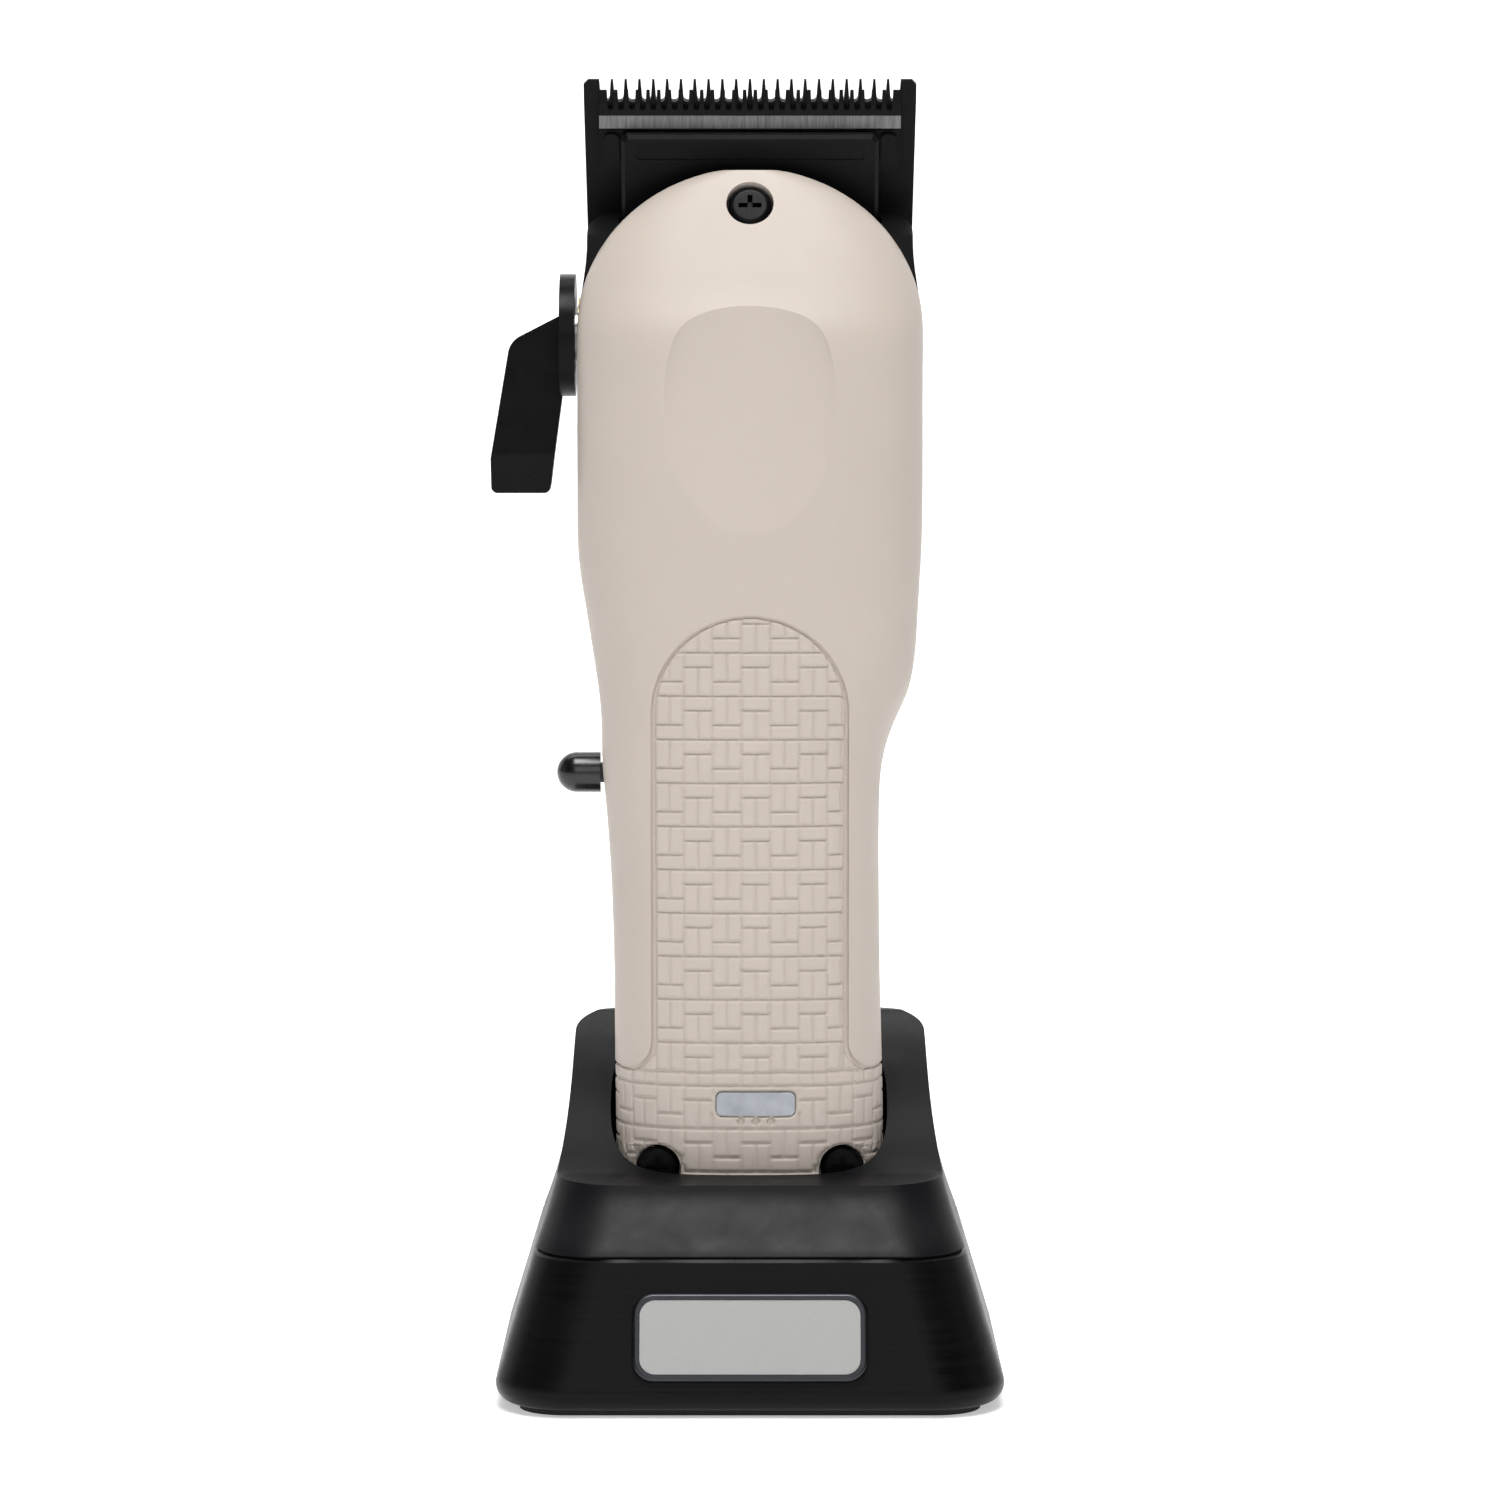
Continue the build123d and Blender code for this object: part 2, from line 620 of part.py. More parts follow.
# ---------------------------------------------------------------- switch
knob_end = -27.3
with BuildPart() as switch_knob:
    with BuildSketch(side(knob_end + knob_r)):
        with Locations((switch_y, switch_h)):
            Circle(knob_r)
    extrude(amount=3.35)
    with Locations((knob_end + knob_r, switch_y, clipper_z + switch_h)):
        Sphere(knob_r)
    with BuildSketch(side(-21.5)):
        with Locations((switch_y, switch_h)):
            RectangleRounded(2.4, 2.8, 0.4)
    extrude(amount=5.2)
switch_knob.part.label = "switch_knob"
export_step(switch_knob.part, "parts/switch_knob.step")

with BuildPart() as switch_actuator:
    with BuildSketch(side(-16.3)):
        with Locations((switch_y, switch_h)):
            Rectangle(2.4, 4.0)
    extrude(amount=2.2)
switch_actuator.part.label = "switch_actuator"
export_step(switch_actuator.part, "parts/switch_actuator.step")

with BuildPart() as switch_module:
    with BuildSketch(side(-16.4)):
        with Locations((switch_y, switch_h + switch_travel / 2)):
            Rectangle(6.4, 16)
    extrude(amount=4.2)
    with BuildSketch(side(-16.4)):
        with Locations((switch_y, switch_h + switch_travel / 2)):
            Rectangle(3.0, 4.0 + switch_travel + 0.8)
    extrude(amount=2.9, mode=Mode.SUBTRACT)
    for step in (-1, 0, 1):
        with BuildSketch(side(-12.2)):
            with Locations((switch_y, switch_h + switch_travel / 2 + 3 * step)):
                Rectangle(1.2, 0.5)
        extrude(amount=0.8)
switch_module.part.label = "switch_module"
export_step(switch_module.part, "parts/switch_module.step")

# ---------------------------------------------------------------- motor and cam
with BuildPart() as motor_can:
    with BuildSketch(level(motor_low)):
        with Locations((0, motor_y)):
            Circle(motor_r)
    extrude(amount=motor_high - motor_low)
    can_rim = [edge for edge in motor_can.edges() if edge.center().Z > clipper_z + motor_high - 0.1]
    fillet(can_rim, 1.0)
    with BuildSketch(level(motor_high)):
        with Locations((0, motor_y)):
            Circle(3.2)
    extrude(amount=1.6)
    with BuildSketch(level(motor_low + 14)):
        with Locations((0, motor_y)):
            Circle(1.06)
    extrude(amount=20, mode=Mode.SUBTRACT)
    with BuildSketch(level(motor_high)):
        with Locations((-8, motor_y), (8, motor_y)):
            Circle(1.0)
    extrude(amount=-3, mode=Mode.SUBTRACT)
motor_can.part.label = "motor_can"
export_step(motor_can.part, "parts/motor_can.step")

with BuildPart() as motor_end_cap:
    with BuildSketch(level(motor_low - 2.6)):
        with Locations((0, motor_y)):
            Circle(motor_r - 0.5)
    extrude(amount=2.6)
    with BuildSketch(level(motor_low - 2.6)):
        with Locations((0, motor_y)):
            Circle(3.4)
    extrude(amount=-1.2)
    for x in (-6, 6):
        with BuildSketch(level(motor_low - 2.6)):
            with Locations((x, motor_y)):
                Rectangle(0.5, 2.2)
        extrude(amount=-2.6)
motor_end_cap.part.label = "motor_end_cap"
export_step(motor_end_cap.part, "parts/motor_end_cap.step")

with BuildPart() as motor_bracket:
    with BuildSketch(level(motor_high)):
        with Locations((0, motor_y)):
            RectangleRounded(38, 17, 3)
        with Locations((0, motor_y)):
            Circle(3.3, mode=Mode.SUBTRACT)
        with Locations((-8, motor_y), (8, motor_y)):
            Circle(1.15, mode=Mode.SUBTRACT)
    extrude(amount=1.4)
motor_bracket.part.label = "motor_bracket"
export_step(motor_bracket.part, "parts/motor_bracket.step")

with BuildPart() as motor_screws:
    for x in (-8, 8):
        with BuildSketch(level(motor_high + 1.4)):
            with Locations((x, motor_y)):
                Circle(1.9)
        extrude(amount=1.2)
        with BuildSketch(level(motor_high - 2.8)):
            with Locations((x, motor_y)):
                Circle(0.98)
        extrude(amount=4.2)
motor_screws.part.label = "motor_screws"
export_step(motor_screws.part, "parts/motor_screws.step")

with BuildPart() as motor_damper:
    with BuildSketch(level(91)):
        with Locations((0, motor_y)):
            Circle(motor_r + 1.2)
            Circle(motor_r, mode=Mode.SUBTRACT)
    extrude(amount=6)
    with BuildSketch(level(93)):
        with Locations((0, motor_y)):
            Circle(motor_r + 1.7)
            Circle(motor_r + 1.0, mode=Mode.SUBTRACT)
    extrude(amount=2)
motor_damper.part.label = "motor_damper"
export_step(motor_damper.part, "parts/motor_damper.step")

cam_low, cam_high = 120.4, 124.4
with BuildPart() as motor_shaft:
    with BuildSketch(level(motor_low + 15)):
        with Locations((0, motor_y)):
            Circle(1.0)
    extrude(amount=cam_high - 0.8 - motor_low - 15)
motor_shaft.part.label = "motor_shaft"
export_step(motor_shaft.part, "parts/motor_shaft.step")

# Cam: hub pressed on the shaft, counterweight opposite the eccentric pin.
with BuildPart() as eccentric_cam:
    with BuildSketch(level(cam_low)):
        with Locations((0, motor_y)):
            Circle(3.2)
        with BuildLine():
            weight = CenterArc((0, motor_y), 5.0, 180, 180)
            Line(weight @ 1, weight @ 0)
        make_face()
    extrude(amount=cam_high - cam_low)
    with BuildSketch(level(cam_high)):
        with Locations((0, motor_y + cam_offset)):
            Circle(cam_pin_r)
    extrude(amount=10)
    with BuildSketch(level(cam_low)):
        with Locations((0, motor_y)):
            Circle(1.0)
    extrude(amount=cam_high - 0.8 - cam_low, mode=Mode.SUBTRACT)
eccentric_cam.part.label = "eccentric_cam"
export_step(eccentric_cam.part, "parts/eccentric_cam.step")

# ---------------------------------------------------------------- battery and electronics
cell_high = cell_low + cell_length
with BuildPart() as battery_cell:
    with BuildSketch(level(cell_low)):
        with Locations((0, cell_y)):
            Circle(cell_r)
    extrude(amount=cell_length - 0.6)
    fillet(battery_cell.edges(), 0.8)
    with BuildSketch(level(cell_high - 0.6)):
        with Locations((0, cell_y)):
            Circle(3.0)
    extrude(amount=0.6)
battery_cell.part.label = "battery_cell"
export_step(battery_cell.part, "parts/battery_cell.step")

with BuildPart() as battery_tabs:
    for height, side_x in ((cell_low - 0.2, 1), (cell_high, -1)):
        with BuildSketch(level(height)):
            with Locations((side_x * 3, cell_y)):
                Rectangle(12, 4)
        extrude(amount=0.2)
battery_tabs.part.label = "battery_tabs"
export_step(battery_tabs.part, "parts/battery_tabs.step")

# Cradle: two rails beside the cell joined by a stop plate above it.
with BuildPart() as battery_cradle:
    for x in (-1, 1):
        with BuildSketch(level(17)):
            with Locations((x * 10.4, cell_y)):
                Rectangle(1.6, 8)
        extrude(amount=cell_high + 2.0 - 17)
    with BuildSketch(level(cell_high + 0.8)):
        with Locations((0, cell_y)):
            Rectangle(22.4, 8)
    extrude(amount=1.2)
    with BuildSketch(level(17)):
        with Locations((0, cell_y)):
            Circle(cell_r + 0.1)
    extrude(amount=cell_high - 17, mode=Mode.SUBTRACT)
battery_cradle.part.label = "battery_cradle"
export_step(battery_cradle.part, "parts/battery_cradle.step")

board_face = 9.5
with BuildPart() as main_circuit_board:
    with BuildSketch(front_plane.offset(board_face - 1.2)):
        with Locations((0, 40)):
            RectangleRounded(18, 46, 1)
    extrude(amount=1.2)
    for x, height, width, tall in ((-5, 36, 5, 5), (4, 46, 7, 4), (5, 34, 3, 6), (-4, 56, 9, 3)):
        with BuildSketch(front_plane.offset(board_face)):
            with Locations((x, height)):
                Rectangle(width, tall)
        extrude(amount=0.7)
main_circuit_board.part.label = "main_circuit_board"
export_step(main_circuit_board.part, "parts/main_circuit_board.step")

with BuildPart() as led_chips:
    with BuildSketch(front_plane.offset(board_face)):
        with Locations((led_x, led_h)):
            with GridLocations(2.8, 1, 3, 1):
                Rectangle(1.6, 1.4)
    extrude(amount=0.6)
led_chips.part.label = "led_chips"
export_step(led_chips.part, "parts/led_chips.step")

with BuildPart() as contact_plates:
    for x in (-pin_x, pin_x):
        with BuildSketch(level(0.25)):
            with Locations((x, pin_y)):
                Rectangle(5.9, 4.9)
        extrude(amount=0.6)
        with BuildSketch(level(0.25)):
            with Locations((x, pin_y)):
                Rectangle(1.2, 2.4)
        extrude(amount=2.6)
contact_plates.part.label = "contact_plates"
export_step(contact_plates.part, "parts/contact_plates.step")


def wire(points, radius, bend):
    """Round insulated wire along straight runs joined by arcs."""
    with BuildPart() as strand:
        with BuildLine():
            route = FilletPolyline(*points, radius=bend)
        with BuildSketch(Plane(origin=route @ 0, z_dir=route % 0)):
            Circle(radius)
        sweep()
    return strand.part


with BuildPart() as battery_wires:
    for x in (-14.3, 14.3):
        top = clipper_z + 78
        add(wire([
            (x, -3.0, clipper_z + 22), (x, -3.0, top - 6), (x * 0.55, -3.0, top),
        ], 0.6, 4))
battery_wires.part.label = "battery_wires"
export_step(battery_wires.part, "parts/battery_wires.step")

with BuildPart() as motor_wires:
    for x in (-6, 6):
        add(wire([
            (x, motor_y - 2.6, clipper_z + 81.6), (x, -7.4, clipper_z + 79),
            (x, -8.0, clipper_z + 63.2),
        ], 0.55, 2))
motor_wires.part.label = "motor_wires"
export_step(motor_wires.part, "parts/motor_wires.step")

# ---------------------------------------------------------------- stand
# Height, half width, front, back and corner radius of the stand above its split line.
crown = [
    (split_z, split_half, split_front, split_back, split_corner),
    (25, 28.4, 24.6, 26.6, 9.4),
    (30, 27.0, 20.9, 25.1, 9.2),
    (36, 25.9, 19.7, 24.1, 9.2),
    (44, 25.2, 19.2, 23.4, 9.2),
    (53, 24.6, 18.8, 23.0, 9.2),
]


def base_station(height):
    """Half width, front, back and corner radius of the straight-sided base at a height."""
    part_way = (height - pad_t) / (split_z - pad_t)
    low = (base_half, base_front, base_back, base_corner)
    high = (split_half, split_front, split_back, split_corner)
    return tuple(a + (b - a) * part_way for a, b in zip(low, high))


def stand_loft(stations, inset, ruled):
    """Loft through rounded rectangles given by height, half width, front, back and corner."""
    with BuildPart() as form:
        for height, half, front, back, corner in stations:
            with BuildSketch(Plane.XY.offset(height)):
                with Locations((0, (back - front) / 2)):
                    RectangleRounded(
                        2 * (half - inset), front + back - 2 * inset, max(corner - inset, 1)
                    )
        loft(ruled=ruled)
    return form.part


def base_form(inset, low, high):
    """Straight-sided base between two heights, drawn in by inset."""
    return stand_loft([(z,) + base_station(z) for z in (low, high)], inset, True)


def rim_profile(drop):
    """Side outline under the scooped rim, lowered by drop."""
    with BuildSketch(Plane(origin=(-40, 0, 0), x_dir=(0, 1, 0), z_dir=(1, 0, 0))) as profile:
        with BuildLine():
            flat = Line((-40, rim_front_z - 1.0 - drop), (-13.5, rim_front_z - drop))
            scoop = Spline(
                flat @ 1, (-9.5, 31.4 - drop), (-4.5, 35.0 - drop), (0.5, 39.2 - drop),
                (6, 43.2 - drop), (12.5, 46.4 - drop), (20, 48.8 - drop), (30, rim_back_z - drop),
                tangents=((1, 0.04), (1, 0.05)),
            )
            Polyline(scoop @ 1, (30, -5), (-40, -5), flat @ 0)
        make_face()
    return profile.sketch


def socket_form(grow, low, high):
    """Upright well that takes the handle."""
    with BuildPart() as well:
        with BuildSketch(Plane.XY.offset(low)):
            with BuildLine():
                rounded_section(
                    19.2 + grow, 18.9 + grow, handle_depth + grow, handle_depth + grow
                )
            make_face()
        extrude(amount=high - low)
    return well.part


post_places = [(-21.6, -16.5), (21.6, -16.5), (-21.6, 19.0), (21.6, 19.0)]
post_r = 3.2
plate_low, plate_high = pad_t, 2.8

with BuildPart() as crown_hollow:
    add(stand_loft(crown, stand_wall, False))
    extrude(to_extrude=rim_profile(stand_wall + 0.6), amount=80, mode=Mode.INTERSECT)
    add(socket_form(socket_gap + 1.8, 0, 60), mode=Mode.SUBTRACT)

with BuildPart() as stand_upper_shell:
    add(stand_loft(crown, 0, False))
    extrude(to_extrude=rim_profile(0), amount=80, mode=Mode.INTERSECT)
    add(socket_form(socket_gap + 1.8, socket_floor - 1.8, 24))
    add(crown_hollow.part, mode=Mode.SUBTRACT)
    with BuildSketch(Plane.XY.offset(plate_high)):
        with Locations(*post_places):
            Circle(post_r)
    extrude(amount=24.6)
    add(socket_form(socket_gap, socket_floor, 60), mode=Mode.SUBTRACT)
    # shadow gap above the split line
    with BuildSketch(Plane.XY.offset(split_z)):
        with Locations((0, (split_back - split_front) / 2)):
            RectangleRounded(80, 80, 2)
            RectangleRounded(
                2 * (split_half - 0.9), split_front + split_back - 1.8, split_corner - 0.9,
                mode=Mode.SUBTRACT,
            )
    extrude(amount=0.4, mode=Mode.SUBTRACT)
    with BuildSketch(Plane.XY.offset(plate_high)):
        with Locations(*post_places):
            Circle(1.4)
    extrude(amount=14, mode=Mode.SUBTRACT)
    with BuildSketch(Plane.XY.offset(socket_floor - 3)):
        with Locations((-pin_x, pin_y), (pin_x, pin_y)):
            Circle(2.0)
    extrude(amount=4, mode=Mode.SUBTRACT)
stand_upper_shell.part.label = "stand_upper_shell"
export_step(stand_upper_shell.part, "parts/stand_upper_shell.step")

jack_z, jack_r = 9.4, 4.6
with BuildPart() as stand_lower_shell:
    add(base_form(0, pad_t, split_z))
    fillet(stand_lower_shell.edges().group_by(Axis.Z)[0], 2.6)
    chamfer(stand_lower_shell.edges().group_by(Axis.Z)[-1], 0.4)
    add(base_form(stand_wall, 4.6, split_z), mode=Mode.SUBTRACT)
    add(base_form(stand_wall + 2.6, 2.8, 4.6), mode=Mode.SUBTRACT)
    add(base_form(stand_wall + 1.0, 0.8, 2.8), mode=Mode.SUBTRACT)
    with BuildSketch(Plane.XZ.offset(-20)):
        with Locations((0, jack_z)):
            Circle(jack_r)
    extrude(amount=-20, mode=Mode.SUBTRACT)
stand_lower_shell.part.label = "stand_lower_shell"
export_step(stand_lower_shell.part, "parts/stand_lower_shell.step")

with BuildPart() as stand_base_plate:
    add(base_form(stand_wall + 1.2, plate_low, plate_high))
    with BuildSketch(Plane.XY.offset(plate_low)):
        with Locations(*post_places):
            Circle(3.0)
    extrude(amount=1.0, mode=Mode.SUBTRACT)
    with BuildSketch(Plane.XY.offset(plate_low)):
        with Locations(*post_places):
            Circle(1.6)
    extrude(amount=2.0, mode=Mode.SUBTRACT)
stand_base_plate.part.label = "stand_base_plate"
export_step(stand_base_plate.part, "parts/stand_base_plate.step")

with BuildPart() as stand_pad:
    with BuildSketch(Plane.XY):
        with Locations((0, (base_back - base_front) / 2)):
            RectangleRounded(2 * base_half - 8.4, base_front + base_back - 8.4, 6.5)
    extrude(amount=pad_t)
stand_pad.part.label = "stand_pad"
export_step(stand_pad.part, "parts/stand_pad.step")

with BuildPart() as stand_screws:
    for place in post_places:
        with BuildSketch(Plane.XY.offset(plate_low + 0.1)):
            with Locations(place):
                Circle(2.7)
                Rectangle(0.7, 3.2, mode=Mode.SUBTRACT)
                Rectangle(3.2, 0.7, mode=Mode.SUBTRACT)
        extrude(amount=0.9)
        with BuildSketch(Plane.XY.offset(plate_low + 0.8)):
            with Locations(place):
                Circle(1.35)
        extrude(amount=12)
stand_screws.part.label = "stand_screws"
export_step(stand_screws.part, "parts/stand_screws.step")

with BuildPart() as ballast_plate:
    with BuildSketch(Plane.XY.offset(plate_high)):
        with Locations((0, -1)):
            RectangleRounded(34, 44, 3)
    extrude(amount=3.4)
ballast_plate.part.label = "ballast_plate"
export_step(ballast_plate.part, "parts/ballast_plate.step")

board_low, board_high = 6.6, 7.8
with BuildPart() as stand_circuit_board:
    with BuildSketch(Plane.XY.offset(board_low)):
        with Locations((0, 6)):
            RectangleRounded(30, 32, 1)
    extrude(amount=board_high - board_low)
    with BuildSketch(Plane.XY.offset(plate_high + 3.4)):
        with Locations((-12, -6), (12, -6), (-12, 18), (12, 18)):
            Circle(1.6)
    extrude(amount=board_low - plate_high - 3.4)
    with BuildSketch(Plane.XY.offset(board_high)):
        with Locations((-9, -4)):
            Rectangle(5, 4)
        with Locations((8, -5)):
            Rectangle(4, 6)
    extrude(amount=1.0)
stand_circuit_board.part.label = "stand_circuit_board"
export_step(stand_circuit_board.part, "parts/stand_circuit_board.step")

# Inlet for the charging lead, flush with the rear wall.
jack_face = 31.2
with BuildPart() as dc_jack:
    with BuildSketch(Plane.XY.offset(board_high)):
        with Locations((0, 21.5)):
            Rectangle(8.4, 9.4)
    extrude(amount=6.2)
    with BuildSketch(Plane.XZ.offset(-20)):
        with Locations((0, jack_z)):
            Circle(jack_r - 0.2)
            with Locations((0, board_high - jack_z - 5)):
                Rectangle(20, 10, mode=Mode.SUBTRACT)
    extrude(amount=-(jack_face - 20))
    with BuildSketch(Plane.XZ.offset(-jack_face)):
        with Locations((0, jack_z + 0.6)):
            Circle(1.75)
    extrude(amount=9.5, mode=Mode.SUBTRACT)
dc_jack.part.label = "dc_jack"
export_step(dc_jack.part, "parts/dc_jack.step")

block_high = 15.9
with BuildPart() as contact_block:
    with BuildSketch(Plane.XY.offset(board_high)):
        with Locations((0, pin_y)):
            RectangleRounded(20, 9, 1)
    extrude(amount=block_high - board_high)
    with BuildSketch(Plane.XY.offset(board_high + 1.0)):
        with Locations((-pin_x, pin_y), (pin_x, pin_y)):
            Circle(1.9)
    extrude(amount=10, mode=Mode.SUBTRACT)
contact_block.part.label = "contact_block"
export_step(contact_block.part, "parts/contact_block.step")

# Sprung pins: a collar below the guide hole keeps each one in.
pin_top = clipper_z + 0.2
collar_low, collar_high = 13.3, 14.4
with BuildPart() as pin_guides:
    for x in (-pin_x, pin_x):
        with BuildSketch(Plane.XY.offset(14.6)):
            with Locations((x, pin_y)):
                Circle(1.88)
                Circle(pin_r + 0.05, mode=Mode.SUBTRACT)
        extrude(amount=block_high + 0.2 - 14.6)
pin_guides.part.label = "pin_guides"
export_step(pin_guides.part, "parts/pin_guides.step")

for name, x in (("left", -pin_x), ("right", pin_x)):
    with BuildPart() as charge_pin:
        with BuildSketch(Plane.XY.offset(12.2)):
            with Locations((x, pin_y)):
                Circle(pin_r)
        extrude(amount=pin_top - 12.2)
        tip = charge_pin.edges().group_by(Axis.Z)[-1]
        fillet(tip, 0.5)
        with BuildSketch(Plane.XY.offset(collar_low)):
            with Locations((x, pin_y)):
                Circle(1.6)
        extrude(amount=collar_high - collar_low)
    charge_pin.part.label = f"charge_pin_{name}"
    export_step(charge_pin.part, f"parts/charge_pin_{name}.step")

    with BuildPart() as charge_pin_spring:
        with BuildLine():
            coil = Helix(pitch=0.88, height=4.0, radius=1.3, center=(x, pin_y, 9.05))
        with BuildSketch(Plane(origin=coil @ 0, z_dir=coil % 0)):
            Circle(0.16)
        sweep(is_frenet=True)
    charge_pin_spring.part.label = f"charge_pin_spring_{name}"
    export_step(charge_pin_spring.part, f"parts/charge_pin_spring_{name}.step")

# ---------------------------------------------------------------- badge
badge_lean = (base_front - split_front) / (split_z - pad_t)
lean_length = sqrt(1 + badge_lean ** 2)
badge_y = -(base_front - badge_lean * (badge_z - pad_t))
badge_face = Plane(
    origin=(0, badge_y, badge_z), x_dir=(1, 0, 0), z_dir=(0, -1 / lean_length, badge_lean / lean_length)
)
with BuildPart() as badge_bezel:
    with BuildSketch(badge_face):
        RectangleRounded(32.2, 12.2, 3.0)
    extrude(amount=1.0)
    outer_rim = [
        edge for edge in badge_bezel.edges()
        if abs(badge_face.to_local_coords(edge.center()).Z - 1.0) < 0.01
    ]
    fillet(outer_rim, 0.5)
    with BuildSketch(badge_face.offset(0.3)):
        RectangleRounded(30.2, 10.4, 2.2)
    extrude(amount=2, mode=Mode.SUBTRACT)
badge_bezel.part.label = "badge_bezel"
export_step(badge_bezel.part, "parts/badge_bezel.step")

with BuildPart() as badge_plate:
    with BuildSketch(badge_face.offset(0.3)):
        RectangleRounded(30.1, 10.3, 2.15)
    extrude(amount=0.55)
badge_plate.part.label = "badge_plate"
export_step(badge_plate.part, "parts/badge_plate.step")
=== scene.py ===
import bmesh
import bpy
import json
from math import cos, hypot, pi, radians, sin, sqrt
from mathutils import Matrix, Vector
from mathutils.bvhtree import BVHTree


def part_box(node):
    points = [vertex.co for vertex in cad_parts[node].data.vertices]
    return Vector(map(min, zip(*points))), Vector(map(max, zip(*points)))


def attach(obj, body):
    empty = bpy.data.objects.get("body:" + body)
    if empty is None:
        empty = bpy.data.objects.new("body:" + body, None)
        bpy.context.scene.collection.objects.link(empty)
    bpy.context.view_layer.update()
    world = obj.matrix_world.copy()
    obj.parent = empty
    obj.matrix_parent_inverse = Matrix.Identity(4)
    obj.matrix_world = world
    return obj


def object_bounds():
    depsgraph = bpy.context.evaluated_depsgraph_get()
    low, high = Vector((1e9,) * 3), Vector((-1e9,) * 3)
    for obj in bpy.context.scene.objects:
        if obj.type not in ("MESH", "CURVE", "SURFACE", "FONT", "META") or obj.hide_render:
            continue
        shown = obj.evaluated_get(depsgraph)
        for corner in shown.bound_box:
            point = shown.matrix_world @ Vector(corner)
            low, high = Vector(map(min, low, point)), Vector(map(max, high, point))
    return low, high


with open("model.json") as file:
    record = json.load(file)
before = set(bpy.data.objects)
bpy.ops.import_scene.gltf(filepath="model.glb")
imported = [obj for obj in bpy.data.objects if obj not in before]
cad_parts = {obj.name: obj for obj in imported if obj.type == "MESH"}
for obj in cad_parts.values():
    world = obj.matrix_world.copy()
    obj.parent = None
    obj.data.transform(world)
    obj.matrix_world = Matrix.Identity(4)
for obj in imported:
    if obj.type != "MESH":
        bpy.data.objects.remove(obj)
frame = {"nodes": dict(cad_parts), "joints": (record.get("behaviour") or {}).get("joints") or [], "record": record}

# A hair clipper in its charging stand.  Everything is in metres in the CAD frame; MM turns
# the millimetres in which the surface details are named into metres.
MM = 0.001
cad_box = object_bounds()
nodes = frame["nodes"]


# ---------------------------------------------------------------- material helpers
class Look:
    """A principled material with short calls for its procedural detail."""

    def __init__(self, name, roughness, metallic=0.0, **sockets):
        self.material = bpy.data.materials.new(name)
        self.material.use_nodes = True
        self.tree = self.material.node_tree
        self.shader = self.tree.nodes["Principled BSDF"]
        self.shader.inputs["Roughness"].default_value = roughness
        self.shader.inputs["Metallic"].default_value = metallic
        for socket, value in sockets.items():
            self.shader.inputs[socket.replace("_", " ")].default_value = value
        self.place = self.tree.nodes.new("ShaderNodeTexCoord").outputs["Object"]
        self.height = None

    def node(self, kind, **settings):
        made = self.tree.nodes.new(kind)
        for key, value in settings.items():
            setattr(made, key, value)
        return made

    def link(self, source, target):
        self.tree.links.new(source, target)

    def stretched(self, stretch):
        """Object coordinates scaled per axis: a small factor draws the pattern out."""
        mapping = self.node("ShaderNodeMapping")
        mapping.inputs["Scale"].default_value = stretch
        self.link(self.place, mapping.inputs["Vector"])
        return mapping.outputs["Vector"]

    def noise(self, size, detail=3.0, stretch=(1, 1, 1), rough=0.5):
        """Noise with features of about the given size in millimetres."""
        made = self.node("ShaderNodeTexNoise")
        made.inputs["Scale"].default_value = 1 / (size * MM)
        made.inputs["Detail"].default_value = detail
        made.inputs["Roughness"].default_value = rough
        self.link(self.stretched(stretch), made.inputs["Vector"])
        return made.outputs["Fac"]

    def cells(self, size, feature="F1"):
        made = self.node("ShaderNodeTexVoronoi", feature=feature)
        made.inputs["Scale"].default_value = 1 / (size * MM)
        self.link(self.place, made.inputs["Vector"])
        return made.outputs["Distance"]

    def spread(self, value, low, high, low_in=0.3, high_in=0.7):
        """Maps a factor from its usual band to the range low to high."""
        made = self.node("ShaderNodeMapRange")
        for socket, number in (
            ("From Min", low_in), ("From Max", high_in), ("To Min", low), ("To Max", high)
        ):
            made.inputs[socket].default_value = number
        self.link(value, made.inputs["Value"])
        return made.outputs["Result"]

    def mix(self, factor, first, second):
        """Colour mix; first and second are colours or sockets."""
        made = self.node("ShaderNodeMix", data_type="RGBA")
        self.link(factor, made.inputs[0])
        for socket, value in ((6, first), (7, second)):
            if hasattr(value, "is_linked"):
                self.link(value, made.inputs[socket])
            else:
                made.inputs[socket].default_value = (*value, 1)
        return made.outputs[2]

    def math(self, operation, first, second=None):
        made = self.node("ShaderNodeMath", operation=operation)
        for socket, value in ((0, first), (1, second)):
            if hasattr(value, "is_linked"):
                self.link(value, made.inputs[socket])
            elif value is not None:
                made.inputs[socket].default_value = value
        return made.outputs[0]

    def colour(self, source):
        self.link(source, self.shader.inputs["Base Color"])

    def rough(self, source):
        self.link(source, self.shader.inputs["Roughness"])

    def bump(self, height, distance):
        """Adds a bump whose full height is distance in millimetres."""
        made = self.node("ShaderNodeBump")
        made.inputs["Strength"].default_value = 1.0
        made.inputs["Distance"].default_value = distance * MM
        self.link(height, made.inputs["Height"])
        if self.height:
            self.link(self.height, made.inputs["Normal"])
        self.height = made.outputs["Normal"]
        self.link(self.height, self.shader.inputs["Normal"])


def shade(colour, factor):
    return tuple(channel * factor for channel in colour)


